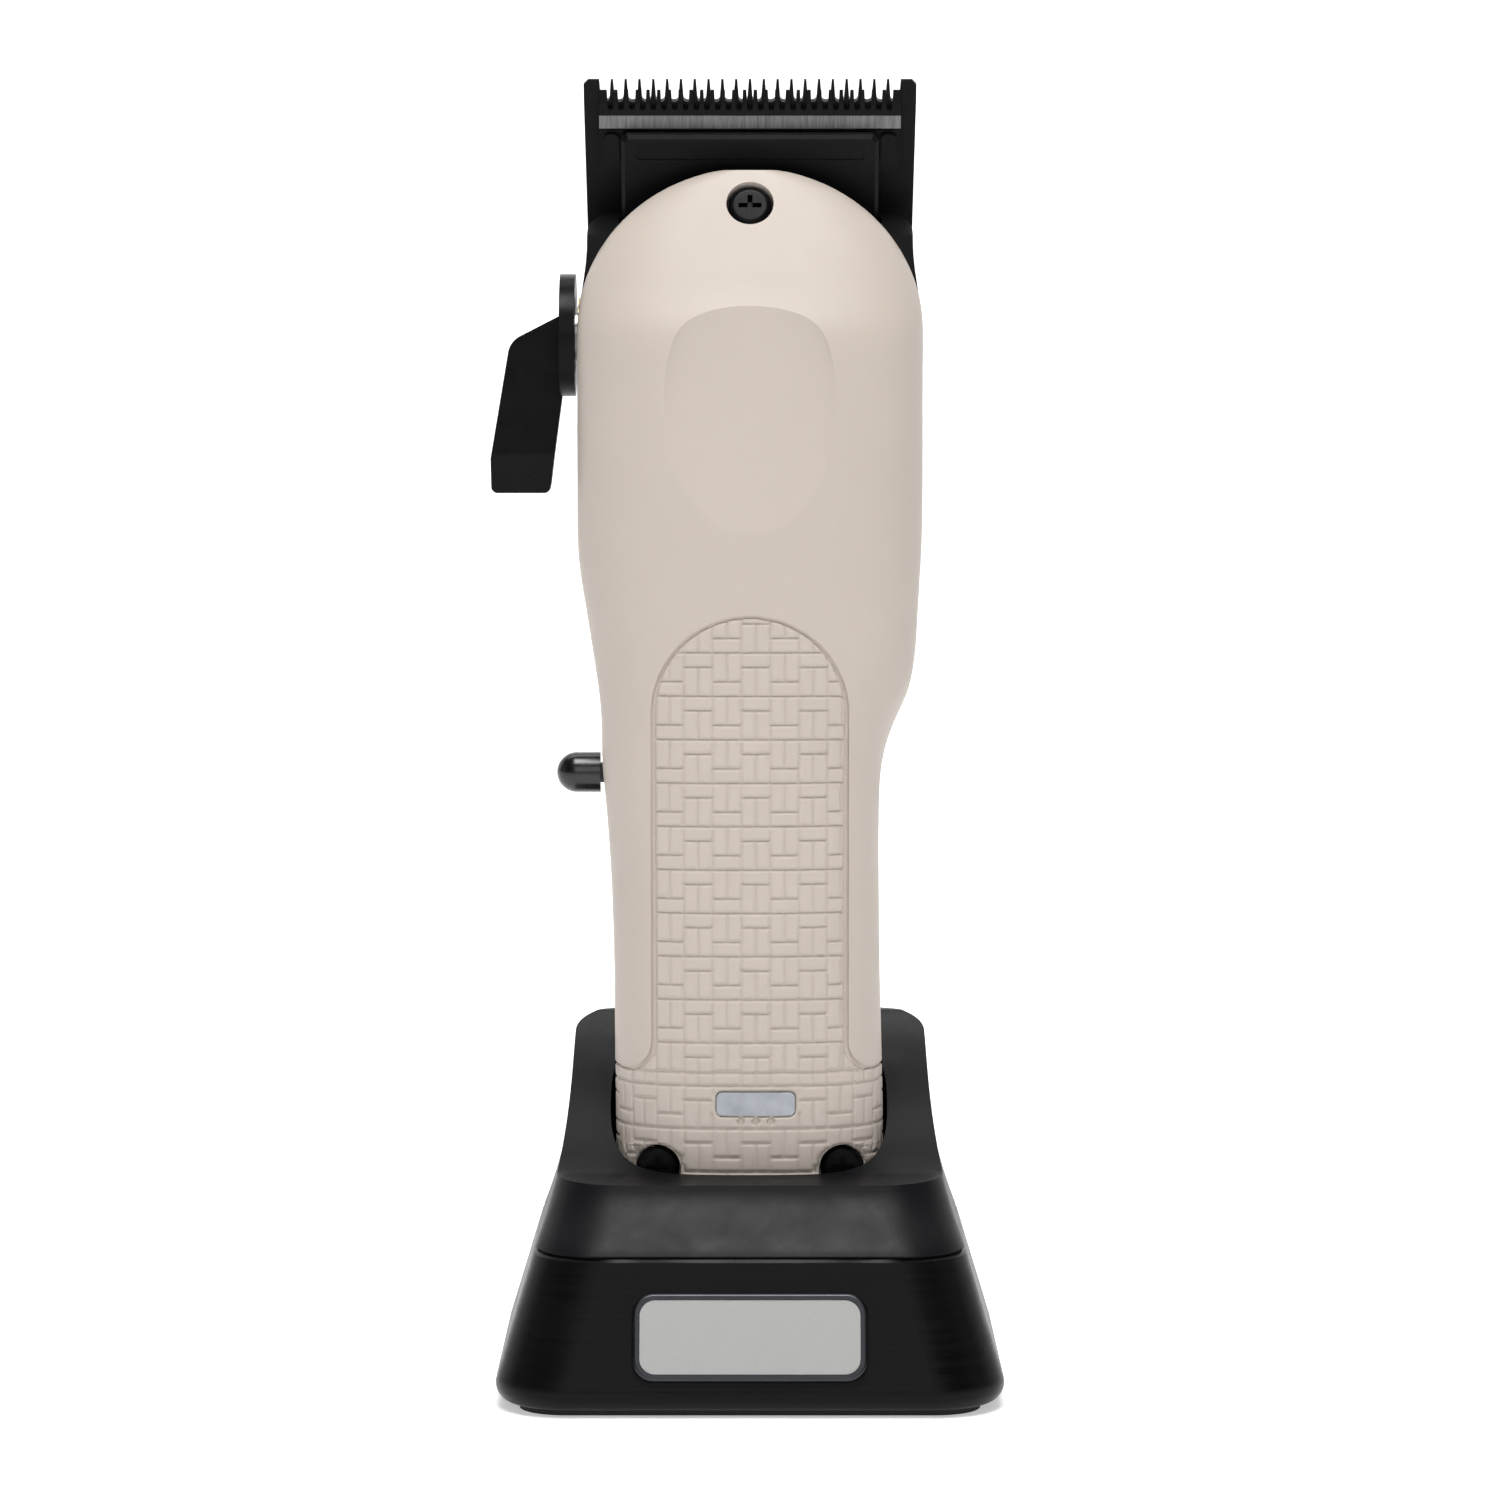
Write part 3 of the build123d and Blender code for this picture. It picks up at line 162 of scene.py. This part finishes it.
def moulded(name, colour, roughness, grain=0.35, depth=0.012, variation=0.06, **sockets):
    """Moulded plastic: fine spark-eroded grain, faint mottling and handling marks."""
    look = Look(name, roughness, **sockets)
    mottle = look.noise(14, 4)
    look.colour(look.mix(look.spread(mottle, 0, 1), shade(colour, 1 - variation),
                         shade(colour, 1 + variation)))
    marks = look.noise(5, 6, rough=0.65)
    look.rough(look.spread(marks, roughness - 0.05, roughness + 0.06))
    look.bump(look.noise(grain, 2), depth)
    return look


def brushed(name, colour, roughness, stretch, depth=0.004, variation=0.10, size=0.5, **sockets):
    """Metal or film with a drawn-out grain along one axis."""
    look = Look(name, roughness, **sockets)
    grain = look.noise(size, 4, stretch, 0.7)
    wide = look.noise(9, 3)
    look.colour(look.mix(look.spread(grain, 0, 1), shade(colour, 1 - variation),
                         shade(colour, 1 + variation)))
    look.rough(look.spread(look.math("ADD", look.math("MULTIPLY", grain, 0.6),
                                     look.math("MULTIPLY", wide, 0.4)),
                           roughness - 0.07, roughness + 0.09))
    look.bump(grain, depth)
    return look


def oxide(name, colour, roughness, **sockets):
    """Black oxide steel: ground grain under the finish, slightly worn and mottled."""
    look = Look(name, roughness, 0.04, Specular_IOR_Level=0.10, **sockets)
    ground = look.noise(0.35, 3, (1, 0.08, 0.08), 0.6)
    mottle = look.noise(4, 5, rough=0.6)
    look.colour(look.mix(look.spread(mottle, 0, 1), shade(colour, 0.75), shade(colour, 1.35)))
    look.rough(look.spread(mottle, roughness - 0.06, roughness + 0.10))
    look.bump(ground, 0.004)
    return look


# ---------------------------------------------------------------- materials
CREAM = (0.555, 0.487, 0.430)
OXIDE_BLACK, OXIDE_ROUGHNESS = (0.004, 0.004, 0.0045), 0.36
LAND_DARK, LAND_BRIGHT = (0.13, 0.13, 0.135), (0.24, 0.24, 0.245)


def cream_plastic():
    look = moulded("cover_cream", CREAM, 0.50, 0.30, 0.008, 0.012)
    look.shader.inputs["Subsurface Weight"].default_value = 0.06
    look.shader.inputs["Subsurface Radius"].default_value = (0.0016, 0.0010, 0.0007)
    return look


def weave_cream():
    """The cover's plastic with painted shade: the grooves between the raised bars are coloured slightly darker."""
    look = cream_plastic()
    look.material.name = "weave_cream"
    hollow = look.node("ShaderNodeNewGeometry").outputs["Pointiness"]
    # Painted shade: concave groove floors get the cream at 0.9 of its brightness.
    groove_shade = look.spread(hollow, 1, 0, 0.44, 0.50)
    base = look.shader.inputs["Base Color"].links[0].from_socket
    look.colour(look.mix(groove_shade, base, shade(CREAM, 0.90)))
    return look


def land_steel(low, high, tip, along):
    """The moving blade: oxide, but bright where the distance behind the tips is low to high."""
    look = oxide("blade_land", OXIDE_BLACK, OXIDE_ROUGHNESS)
    offset = look.node("ShaderNodeVectorMath", operation="SUBTRACT")
    offset.inputs[1].default_value = tip
    look.link(look.place, offset.inputs[0])
    dot = look.node("ShaderNodeVectorMath", operation="DOT_PRODUCT")
    dot.inputs[1].default_value = along
    look.link(offset.outputs[0], dot.inputs[0])
    behind = dot.outputs["Value"]
    inside = look.math("MULTIPLY", look.math("GREATER_THAN", behind, low),
                       look.math("LESS_THAN", behind, high))
    scratches = look.noise(0.25, 3, (1, 0.05, 0.05), 0.6)
    bright = look.mix(look.spread(scratches, 0, 1), LAND_DARK, LAND_BRIGHT)
    base = look.shader.inputs["Base Color"].links[0].from_socket
    look.colour(look.mix(inside, base, bright))
    return look


def rubber(name, colour, roughness=0.75):
    look = Look(name, roughness)
    dust = look.noise(2.5, 5, rough=0.7)
    look.colour(look.mix(look.spread(dust, 0, 1), colour, shade(colour, 1.7)))
    look.rough(look.spread(dust, roughness - 0.08, roughness + 0.1))
    look.bump(look.cells(0.6), 0.03)
    return look


def metal(name, colour, roughness, size=0.6, stretch=(1, 1, 0.06)):
    look = brushed(name, colour, roughness, stretch, 0.003, 0.07, size)
    look.shader.inputs["Metallic"].default_value = 1.0
    return look


def lens():
    """Smoky diffuser over the light: cloudy grey tone, gloss on top."""
    look = Look("lens_grey", 0.22, Coat_Weight=0.6, Coat_Roughness=0.08)
    cloud = look.noise(3, 2)
    look.colour(look.mix(look.spread(cloud, 0, 1), (0.30, 0.32, 0.36), (0.42, 0.44, 0.48)))
    look.bump(look.noise(0.8, 2), 0.004)
    return look


def board_green():
    """Solder mask over etched tracks."""
    look = Look("board_green", 0.30, Coat_Weight=0.4, Coat_Roughness=0.15)
    tracks = look.cells(2.2, "DISTANCE_TO_EDGE")
    line = look.spread(tracks, 1, 0, 0.03, 0.08)
    look.colour(look.mix(line, (0.012, 0.11, 0.045), (0.03, 0.22, 0.09)))
    look.bump(line, 0.02)
    look.rough(look.spread(look.noise(1, 4), 0.22, 0.4))
    return look


def cell_wrap():
    """Heat-shrunk film over the cell with faint wrinkles."""
    look = Look("cell_wrap", 0.28, Coat_Weight=0.5, Coat_Roughness=0.1)
    wrinkle = look.noise(3, 4, (1, 1, 0.25))
    look.colour(look.mix(look.spread(wrinkle, 0, 1), (0.02, 0.10, 0.30), (0.03, 0.15, 0.40)))
    look.bump(wrinkle, 0.05)
    look.rough(look.spread(wrinkle, 0.2, 0.36))
    return look


def make_materials():
    looks = {
        "cover_cream": cream_plastic(),
        "housing_black": moulded("housing_black", (0.006, 0.006, 0.0065), 0.44,
                                 Specular_IOR_Level=0.12),
        "stand_charcoal": moulded("stand_charcoal", (0.0065, 0.0065, 0.0078), 0.40, 0.28, 0.008,
                                  0.10, Specular_IOR_Level=0.13),
        "stand_black": brushed("stand_black", (0.0035, 0.0035, 0.004), 0.33, (0.025, 0.025, 1),
                               0.004, 0.45, 0.45, Specular_IOR_Level=0.11),
        "blade_black": oxide("blade_black", OXIDE_BLACK, OXIDE_ROUGHNESS),
        "guide_plastic": moulded("guide_plastic", (0.0045, 0.0048, 0.0056), 0.40, 0.5, 0.008, 0.12,
                                 Specular_IOR_Level=0.09),
        "lever_black": oxide("lever_black", (0.0035, 0.0035, 0.004), 0.30),
        "knob_black": moulded("knob_black", (0.004, 0.004, 0.0045), 0.26, 0.4, 0.004, 0.1,
                              Coat_Weight=0.2, Coat_Roughness=0.1),
        "screw_black": oxide("screw_black", (0.003, 0.003, 0.0035), 0.32),
        "bezel_grey": metal("bezel_grey", (0.05, 0.052, 0.058), 0.34, 0.3, (1, 1, 1)),
        "badge_silver": metal("badge_silver", (0.43, 0.43, 0.425), 0.50, 0.22, (1, 1, 1)),
        "lens_grey": lens(),
        "rubber_black": rubber("rubber_black", (0.012, 0.012, 0.012)),
        "steel": metal("steel", (0.52, 0.52, 0.51), 0.30),
        "brass": metal("brass", (0.72, 0.52, 0.22), 0.26),
        "board_green": board_green(),
        "led_white": moulded("led_white", (0.75, 0.74, 0.62), 0.3),
        "cell_wrap": cell_wrap(),
        "inner_plastic": moulded("inner_plastic", (0.05, 0.05, 0.055), 0.5),
        "wire_red": rubber("wire_red", (0.35, 0.02, 0.02), 0.45),
    }
    return {slot: look.material for slot, look in looks.items()}


materials = make_materials()
for part in frame["record"]["subparts"]:
    mesh = nodes[part["node"]].data
    mesh.materials.clear()
    mesh.materials.append(materials[part["material_slot"]])

# The moving blade's bright land lies this far behind the fixed blade's tips.
LAND_NEAR, LAND_FAR = 4.7 * MM, 6.6 * MM
drawback = Vector([j for j in frame["joints"] if j["name"] == "carriage_slide"][0]["axis"])
tip_line = max((v.co for v in nodes["fixed_blade"].data.vertices), key=lambda co: co.z).copy()
tip_line.x = 0
moving = nodes["moving_blade"].data
moving.materials.clear()
moving.materials.append(
    land_steel(LAND_NEAR, LAND_FAR, tuple(tip_line), tuple(drawback)).material
)


# ---------------------------------------------------------------- grip relief
# The weave is laid on the cover in surface coordinates: u runs round the cover from its
# middle line and h is the height above the clipper's lower end.
CLIPPER_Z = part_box("top_cover")[0].z
GRIP_HALF, GRIP_TOP, GRIP_BOTTOM = 13.4, 89.4, 26.0
TURN = 4.0                  # radius where the groove turns out to the sides
GROOVE = 0.05               # the weave stops this far inside the middle of the edge groove
LED_CENTRE, LED_SIZE = (0.8, 21.6), (10.9, 3.25)
SCREW_CENTRE, SCREW_R = (12.9, 12.3), 3.3
DOT_PITCH, DOT_H, DOT_R = 2.07, 19.1, 0.42
RELIEF = 0.34               # depth of the grooves between the bars
WEAVE_COLUMN, WEAVE_PERIOD = 4.0, 6.05
BAR_HALF = WEAVE_PERIOD / 6     # half height of a cross bar
MEETING = 18.05             # height where the cross bars of neighbouring columns meet
# Grid of the relief mesh: every seam falls on a row or a column of vertices.
CELL_U, CELL_H = WEAVE_COLUMN / 16, WEAVE_PERIOD / 24
SEAM_SOFT = 0.40            # half width of a rounded groove
UPRIGHT = 0.7               # upright grooves are shallower than the cross grooves
LOWEST_ROW = MEETING - 61 * CELL_H
WIDEST = 31                 # more than the cover's arc length on either side
RAY_START = 0.08            # metres from the axis where the rays onto the cover start
RAY_LIMIT = 88              # degrees either side of the front that the rays cover
CUT_CLEAR = 0.3             # rays this close to the window, screws or dots are left out
SIDE_MARGIN = 0.25          # how far the weave stops short of the parting line
WINDOW_GAP = 0.06           # gap between the weave's cut-out and the window
FRAME = 0.6                 # plain rim left round the window
EDGE_ROUND = 0.28           # width of the weave's rounded outer edge
EDGE_DROP = 0.8             # how much of the bars' height that edge loses
TOP_LEVEL = 0.33            # bars stand this far above the recess floor
SNAP = 0.55                 # vertices within this share of a cell move onto the outline
PROBE = 0.05                # step for the outline's direction
SKIRT = 0.45                # how far the mesh's rim reaches into the cover


def box_distance(x, y, half_x, half_y, corner=0.0):
    """Signed distance to a rounded rectangle, negative inside."""
    dx, dy = abs(x) - half_x + corner, abs(y) - half_y + corner
    return hypot(max(dx, 0), max(dy, 0)) + min(max(dx, dy), 0) - corner


def panel_distance(u, h):
    """Signed distance to the textured area's outline, negative inside."""
    half, low = GRIP_HALF - GROOVE, GRIP_BOTTOM - GROOVE
    spring = GRIP_TOP - GRIP_HALF
    upper = hypot(u, h - spring) - half if h > spring else abs(u) - half
    distance = min(upper, h - low) if h > low else h - low
    corner = (GRIP_HALF + TURN, GRIP_BOTTOM + TURN)
    if half < abs(u) < corner[0] and low < h < corner[1]:
        distance = TURN + GROOVE - hypot(abs(u) - corner[0], h - corner[1])
    return distance


def cut_distance(u, h):
    """Signed distance to the window, the screws and the dots, positive outside them."""
    window = box_distance(u - LED_CENTRE[0], h - LED_CENTRE[1],
                          LED_SIZE[0] / 2 + WINDOW_GAP, LED_SIZE[1] / 2 + WINDOW_GAP, 0.85)
    screws = hypot(abs(u) - SCREW_CENTRE[0], h - SCREW_CENTRE[1]) - SCREW_R
    dots = min(hypot(u - LED_CENTRE[0] - step * DOT_PITCH, h - DOT_H) for step in (-1, 0, 1))
    return min(window, screws, dots - DOT_R)


def seam(distance):
    """Height of a rounded groove: 0 in its middle, 1 on the bars."""
    t = min(abs(distance) / SEAM_SOFT, 1)
    return sqrt(max(0.0, 1 - (1 - t) ** 2))


def weave_height(u, h):
    """Basket weave: cross bars in alternate columns with pairs of upright bars between."""
    column = round((u - LED_CENTRE[0]) / WEAVE_COLUMN)
    across = u - LED_CENTRE[0] - column * WEAVE_COLUMN
    phase = MEETING + (BAR_HALF if column % 2 else -BAR_HALF)
    along = (h - phase + WEAVE_PERIOD / 2) % WEAVE_PERIOD - WEAVE_PERIOD / 2
    edge = 1 - UPRIGHT * (1 - seam(abs(across) - WEAVE_COLUMN / 2))
    bar = seam(abs(along) - BAR_HALF)
    if abs(along) < BAR_HALF:
        return min(edge, bar)
    return min(edge, bar, 1 - UPRIGHT * (1 - seam(across)))


def cover_section(tree, h):
    """Points round the cover's front at a height, from its left edge to its right edge."""
    points = []
    for step in range(-RAY_LIMIT, RAY_LIMIT + 1):
        angle = radians(step)
        away = Vector((sin(angle), -cos(angle), 0))
        start = away * RAY_START + Vector((0, 0, CLIPPER_Z + h * MM))
        hit = tree.ray_cast(start, -away)[0]
        if hit is not None and cut_distance(hit.x / MM, h) >= CUT_CLEAR:
            points.append(hit)
    return points


def along_section(points):
    """Arc length of each point of a section, in millimetres from the middle line."""
    lengths = [0.0]
    for first, second in zip(points, points[1:]):
        lengths.append(lengths[-1] + (second - first).length / MM)
    middle = next(i for i, point in enumerate(points) if point.x >= 0)
    share = -points[middle - 1].x / (points[middle].x - points[middle - 1].x)
    zero = lengths[middle - 1] + share * (lengths[middle] - lengths[middle - 1])
    return [length - zero for length in lengths]


def surface_point(points, lengths, u):
    """Point and outward direction of a section at arc length u."""
    index = 1
    while index < len(lengths) - 1 and lengths[index] < u:
        index += 1
    step = lengths[index] - lengths[index - 1]
    share = (u - lengths[index - 1]) / step
    point = points[index - 1].lerp(points[index], share)
    before, after = points[max(index - 2, 0)], points[min(index + 1, len(points) - 1)]
    run = (after - before).normalized()
    return point, Vector((run.y, -run.x, 0))


def outline_distance(u, h, reach):
    """Signed distance to the rim of the weave, negative inside."""
    return max(panel_distance(u, h), -cut_distance(u, h), abs(u) - reach, LOWEST_ROW - h)


def relief(u, h, distance):
    """Height of the weave above the recess floor."""
    window = box_distance(u - LED_CENTRE[0], h - LED_CENTRE[1],
                          LED_SIZE[0] / 2, LED_SIZE[1] / 2, 0.8)
    bars = 1.0 if window < FRAME else weave_height(u, h)
    t = min(max(-distance / EDGE_ROUND, 0), 1)
    edge = sqrt(1 - (1 - t) ** 2)
    return TOP_LEVEL - RELIEF * (1 - bars) - TOP_LEVEL * EDGE_DROP * (1 - edge)


def weave_panel():
    """The grip's woven relief as one mesh that fills the recess in the cover."""
    cover = nodes["top_cover"].data
    tree = BVHTree.FromPolygons([v.co for v in cover.vertices],
                                [tuple(p.vertices) for p in cover.polygons])
    rows = int((GRIP_TOP - LOWEST_ROW) / CELL_H) + 2
    columns = int(WIDEST / CELL_U)
    mesh = bmesh.new()
    grid = {}
    for row in range(rows):
        h_row = LOWEST_ROW + row * CELL_H
        points = cover_section(tree, h_row)
        lengths = along_section(points)
        reach = min(-lengths[0], lengths[-1]) - SIDE_MARGIN
        for column in range(-columns, columns + 1):
            u, h = LED_CENTRE[0] + column * CELL_U, h_row
            distance = outline_distance(u, h, reach)
            if distance > CELL_U:
                continue
            if abs(distance) < SNAP * CELL_U:
                du = outline_distance(u + PROBE, h, reach) - outline_distance(u - PROBE, h, reach)
                dh = outline_distance(u, h + PROBE, reach) - outline_distance(u, h - PROBE, reach)
                slope = max(hypot(du, dh), 1e-6)
                u -= distance * du / slope
                h -= distance * dh / slope
                distance = 0.0
            if distance > 0:
                continue
            point, out = surface_point(points, lengths, u)
            point = point + Vector((0, 0, (h - h_row) * MM))
            vertex = mesh.verts.new(point + out * relief(u, h, distance) * MM)
            grid[row, column] = vertex
    for row, column in list(grid):
        corners = [grid.get(key) for key in (
            (row, column), (row, column + 1), (row + 1, column + 1), (row + 1, column))]
        if all(corners):
            mesh.faces.new(corners)
    loose = [v for v in mesh.verts if not v.link_faces]
    bmesh.ops.delete(mesh, geom=loose, context="VERTS")
    rim = [e for e in mesh.edges if e.is_boundary]
    skirt = bmesh.ops.extrude_edge_only(mesh, edges=rim)["geom"]
    inward = Vector((0, SKIRT * MM, 0))
    for item in skirt:
        if isinstance(item, bmesh.types.BMVert):
            item.co += inward
    bmesh.ops.recalc_face_normals(mesh, faces=mesh.faces)
    for face in mesh.faces:
        face.smooth = True
    data = bpy.data.meshes.new("grip_weave")
    mesh.to_mesh(data)
    mesh.free()
    data.materials.append(weave_cream().material)
    panel = bpy.data.objects.new("grip_weave", data)
    bpy.context.scene.collection.objects.link(panel)
    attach(panel, "clipper")


weave_panel()


# ---------------------------------------------------------------- stage, light and camera
PAPER_GLOW = 0.42           # keeps the paper evenly pale
HORIZON, SKY = 0.85, 0.08   # brightness of the surroundings: a pale band, dark above it
HORIZON_TOP, SKY_START = 0.10, 0.22     # upward part of a direction where they end and begin


def backdrop():
    """Pale floor that curves up into a wall behind the object."""
    half_width, front, bend, top, radius = 9.0, -9.0, 1.6, 3.6, 0.9
    steps = 16
    profile = [(front, 0.0), (bend, 0.0)]
    for step in range(1, steps + 1):
        angle = step / steps * pi / 2
        profile.append((bend + radius * sin(angle), radius * (1 - cos(angle))))
    profile.append((bend + radius, top))
    verts = [(x, y, z) for y, z in profile for x in (-half_width, half_width)]
    faces = [(2 * i, 2 * i + 1, 2 * i + 3, 2 * i + 2) for i in range(len(profile) - 1)]
    data = bpy.data.meshes.new("backdrop")
    data.from_pydata(verts, [], faces)
    for polygon in data.polygons:
        polygon.use_smooth = True
    look = Look("paper", 0.9)
    look.colour(look.mix(look.spread(look.noise(600, 2), 0, 1), (0.90, 0.90, 0.90),
                         (0.93, 0.93, 0.93)))
    look.shader.inputs["Emission Color"].default_value = (1, 1, 1, 1)
    look.shader.inputs["Emission Strength"].default_value = PAPER_GLOW
    data.materials.append(look.material)
    paper = bpy.data.objects.new("backdrop", data)
    bpy.context.scene.collection.objects.link(paper)


def softbox(name, place, aim, size, watts, size_y=None):
    """Rectangular area light aimed at a point."""
    data = bpy.data.lights.new(name, "AREA")
    data.energy = watts
    data.shape = "RECTANGLE"
    data.size = size
    data.size_y = size_y or size
    lamp = bpy.data.objects.new(name, data)
    lamp.location = place
    lamp.rotation_euler = (Vector(aim) - Vector(place)).to_track_quat("-Z", "Y").to_euler()
    bpy.context.scene.collection.objects.link(lamp)


def lighting():
    """Soft light from above and in front, dim sides, and a world brighter at the horizon."""
    low, high = cad_box
    middle = (0, 0, (low.z + high.z) / 2)
    softbox("overhead", (0.0, -0.36, 1.05), middle, 0.5, 10.5)
    softbox("front", (0.0, -2.0, 0.85), middle, 1.1, 7.0)
    softbox("left", (-1.2, -0.15, 0.30), middle, 0.30, 0.35, 0.9)
    softbox("right", (1.2, -0.15, 0.30), middle, 0.30, 0.45, 0.9)
    softbox("wall", (0.0, 0.75, 1.6), (0, 2.2, 0.6), 1.6, 30)
    world = bpy.data.worlds.new("studio")
    world.use_nodes = True
    tree = world.node_tree
    direction = tree.nodes.new("ShaderNodeTexCoord").outputs["Generated"]
    split = tree.nodes.new("ShaderNodeSeparateXYZ")
    tree.links.new(direction, split.inputs[0])
    fade = tree.nodes.new("ShaderNodeMapRange")
    for socket, number in (
        ("From Min", HORIZON_TOP), ("From Max", SKY_START),
        ("To Min", HORIZON), ("To Max", SKY),
    ):
        fade.inputs[socket].default_value = number
    tree.links.new(split.outputs["Z"], fade.inputs["Value"])
    tree.links.new(fade.outputs["Result"], tree.nodes["Background"].inputs["Strength"])
    bpy.context.scene.world = world


def camera():
    """Long lens a little above the middle of the object, looking slightly down."""
    distance, eye_height, aim_height, view_angle = 0.800, 0.155, 0.0885, 14.99
    data = bpy.data.cameras.new("camera")
    data.sensor_width = 36
    data.lens_unit = "FOV"
    data.angle = radians(view_angle)
    eye = bpy.data.objects.new("camera", data)
    eye.location = (0, -distance, eye_height)
    aim = Vector((0, 0, aim_height)) - eye.location
    eye.rotation_euler = aim.to_track_quat("-Z", "Y").to_euler()
    bpy.context.scene.collection.objects.link(eye)
    bpy.context.scene.camera = eye


backdrop()
lighting()
camera()
bpy.context.scene.view_settings.view_transform = "Standard"
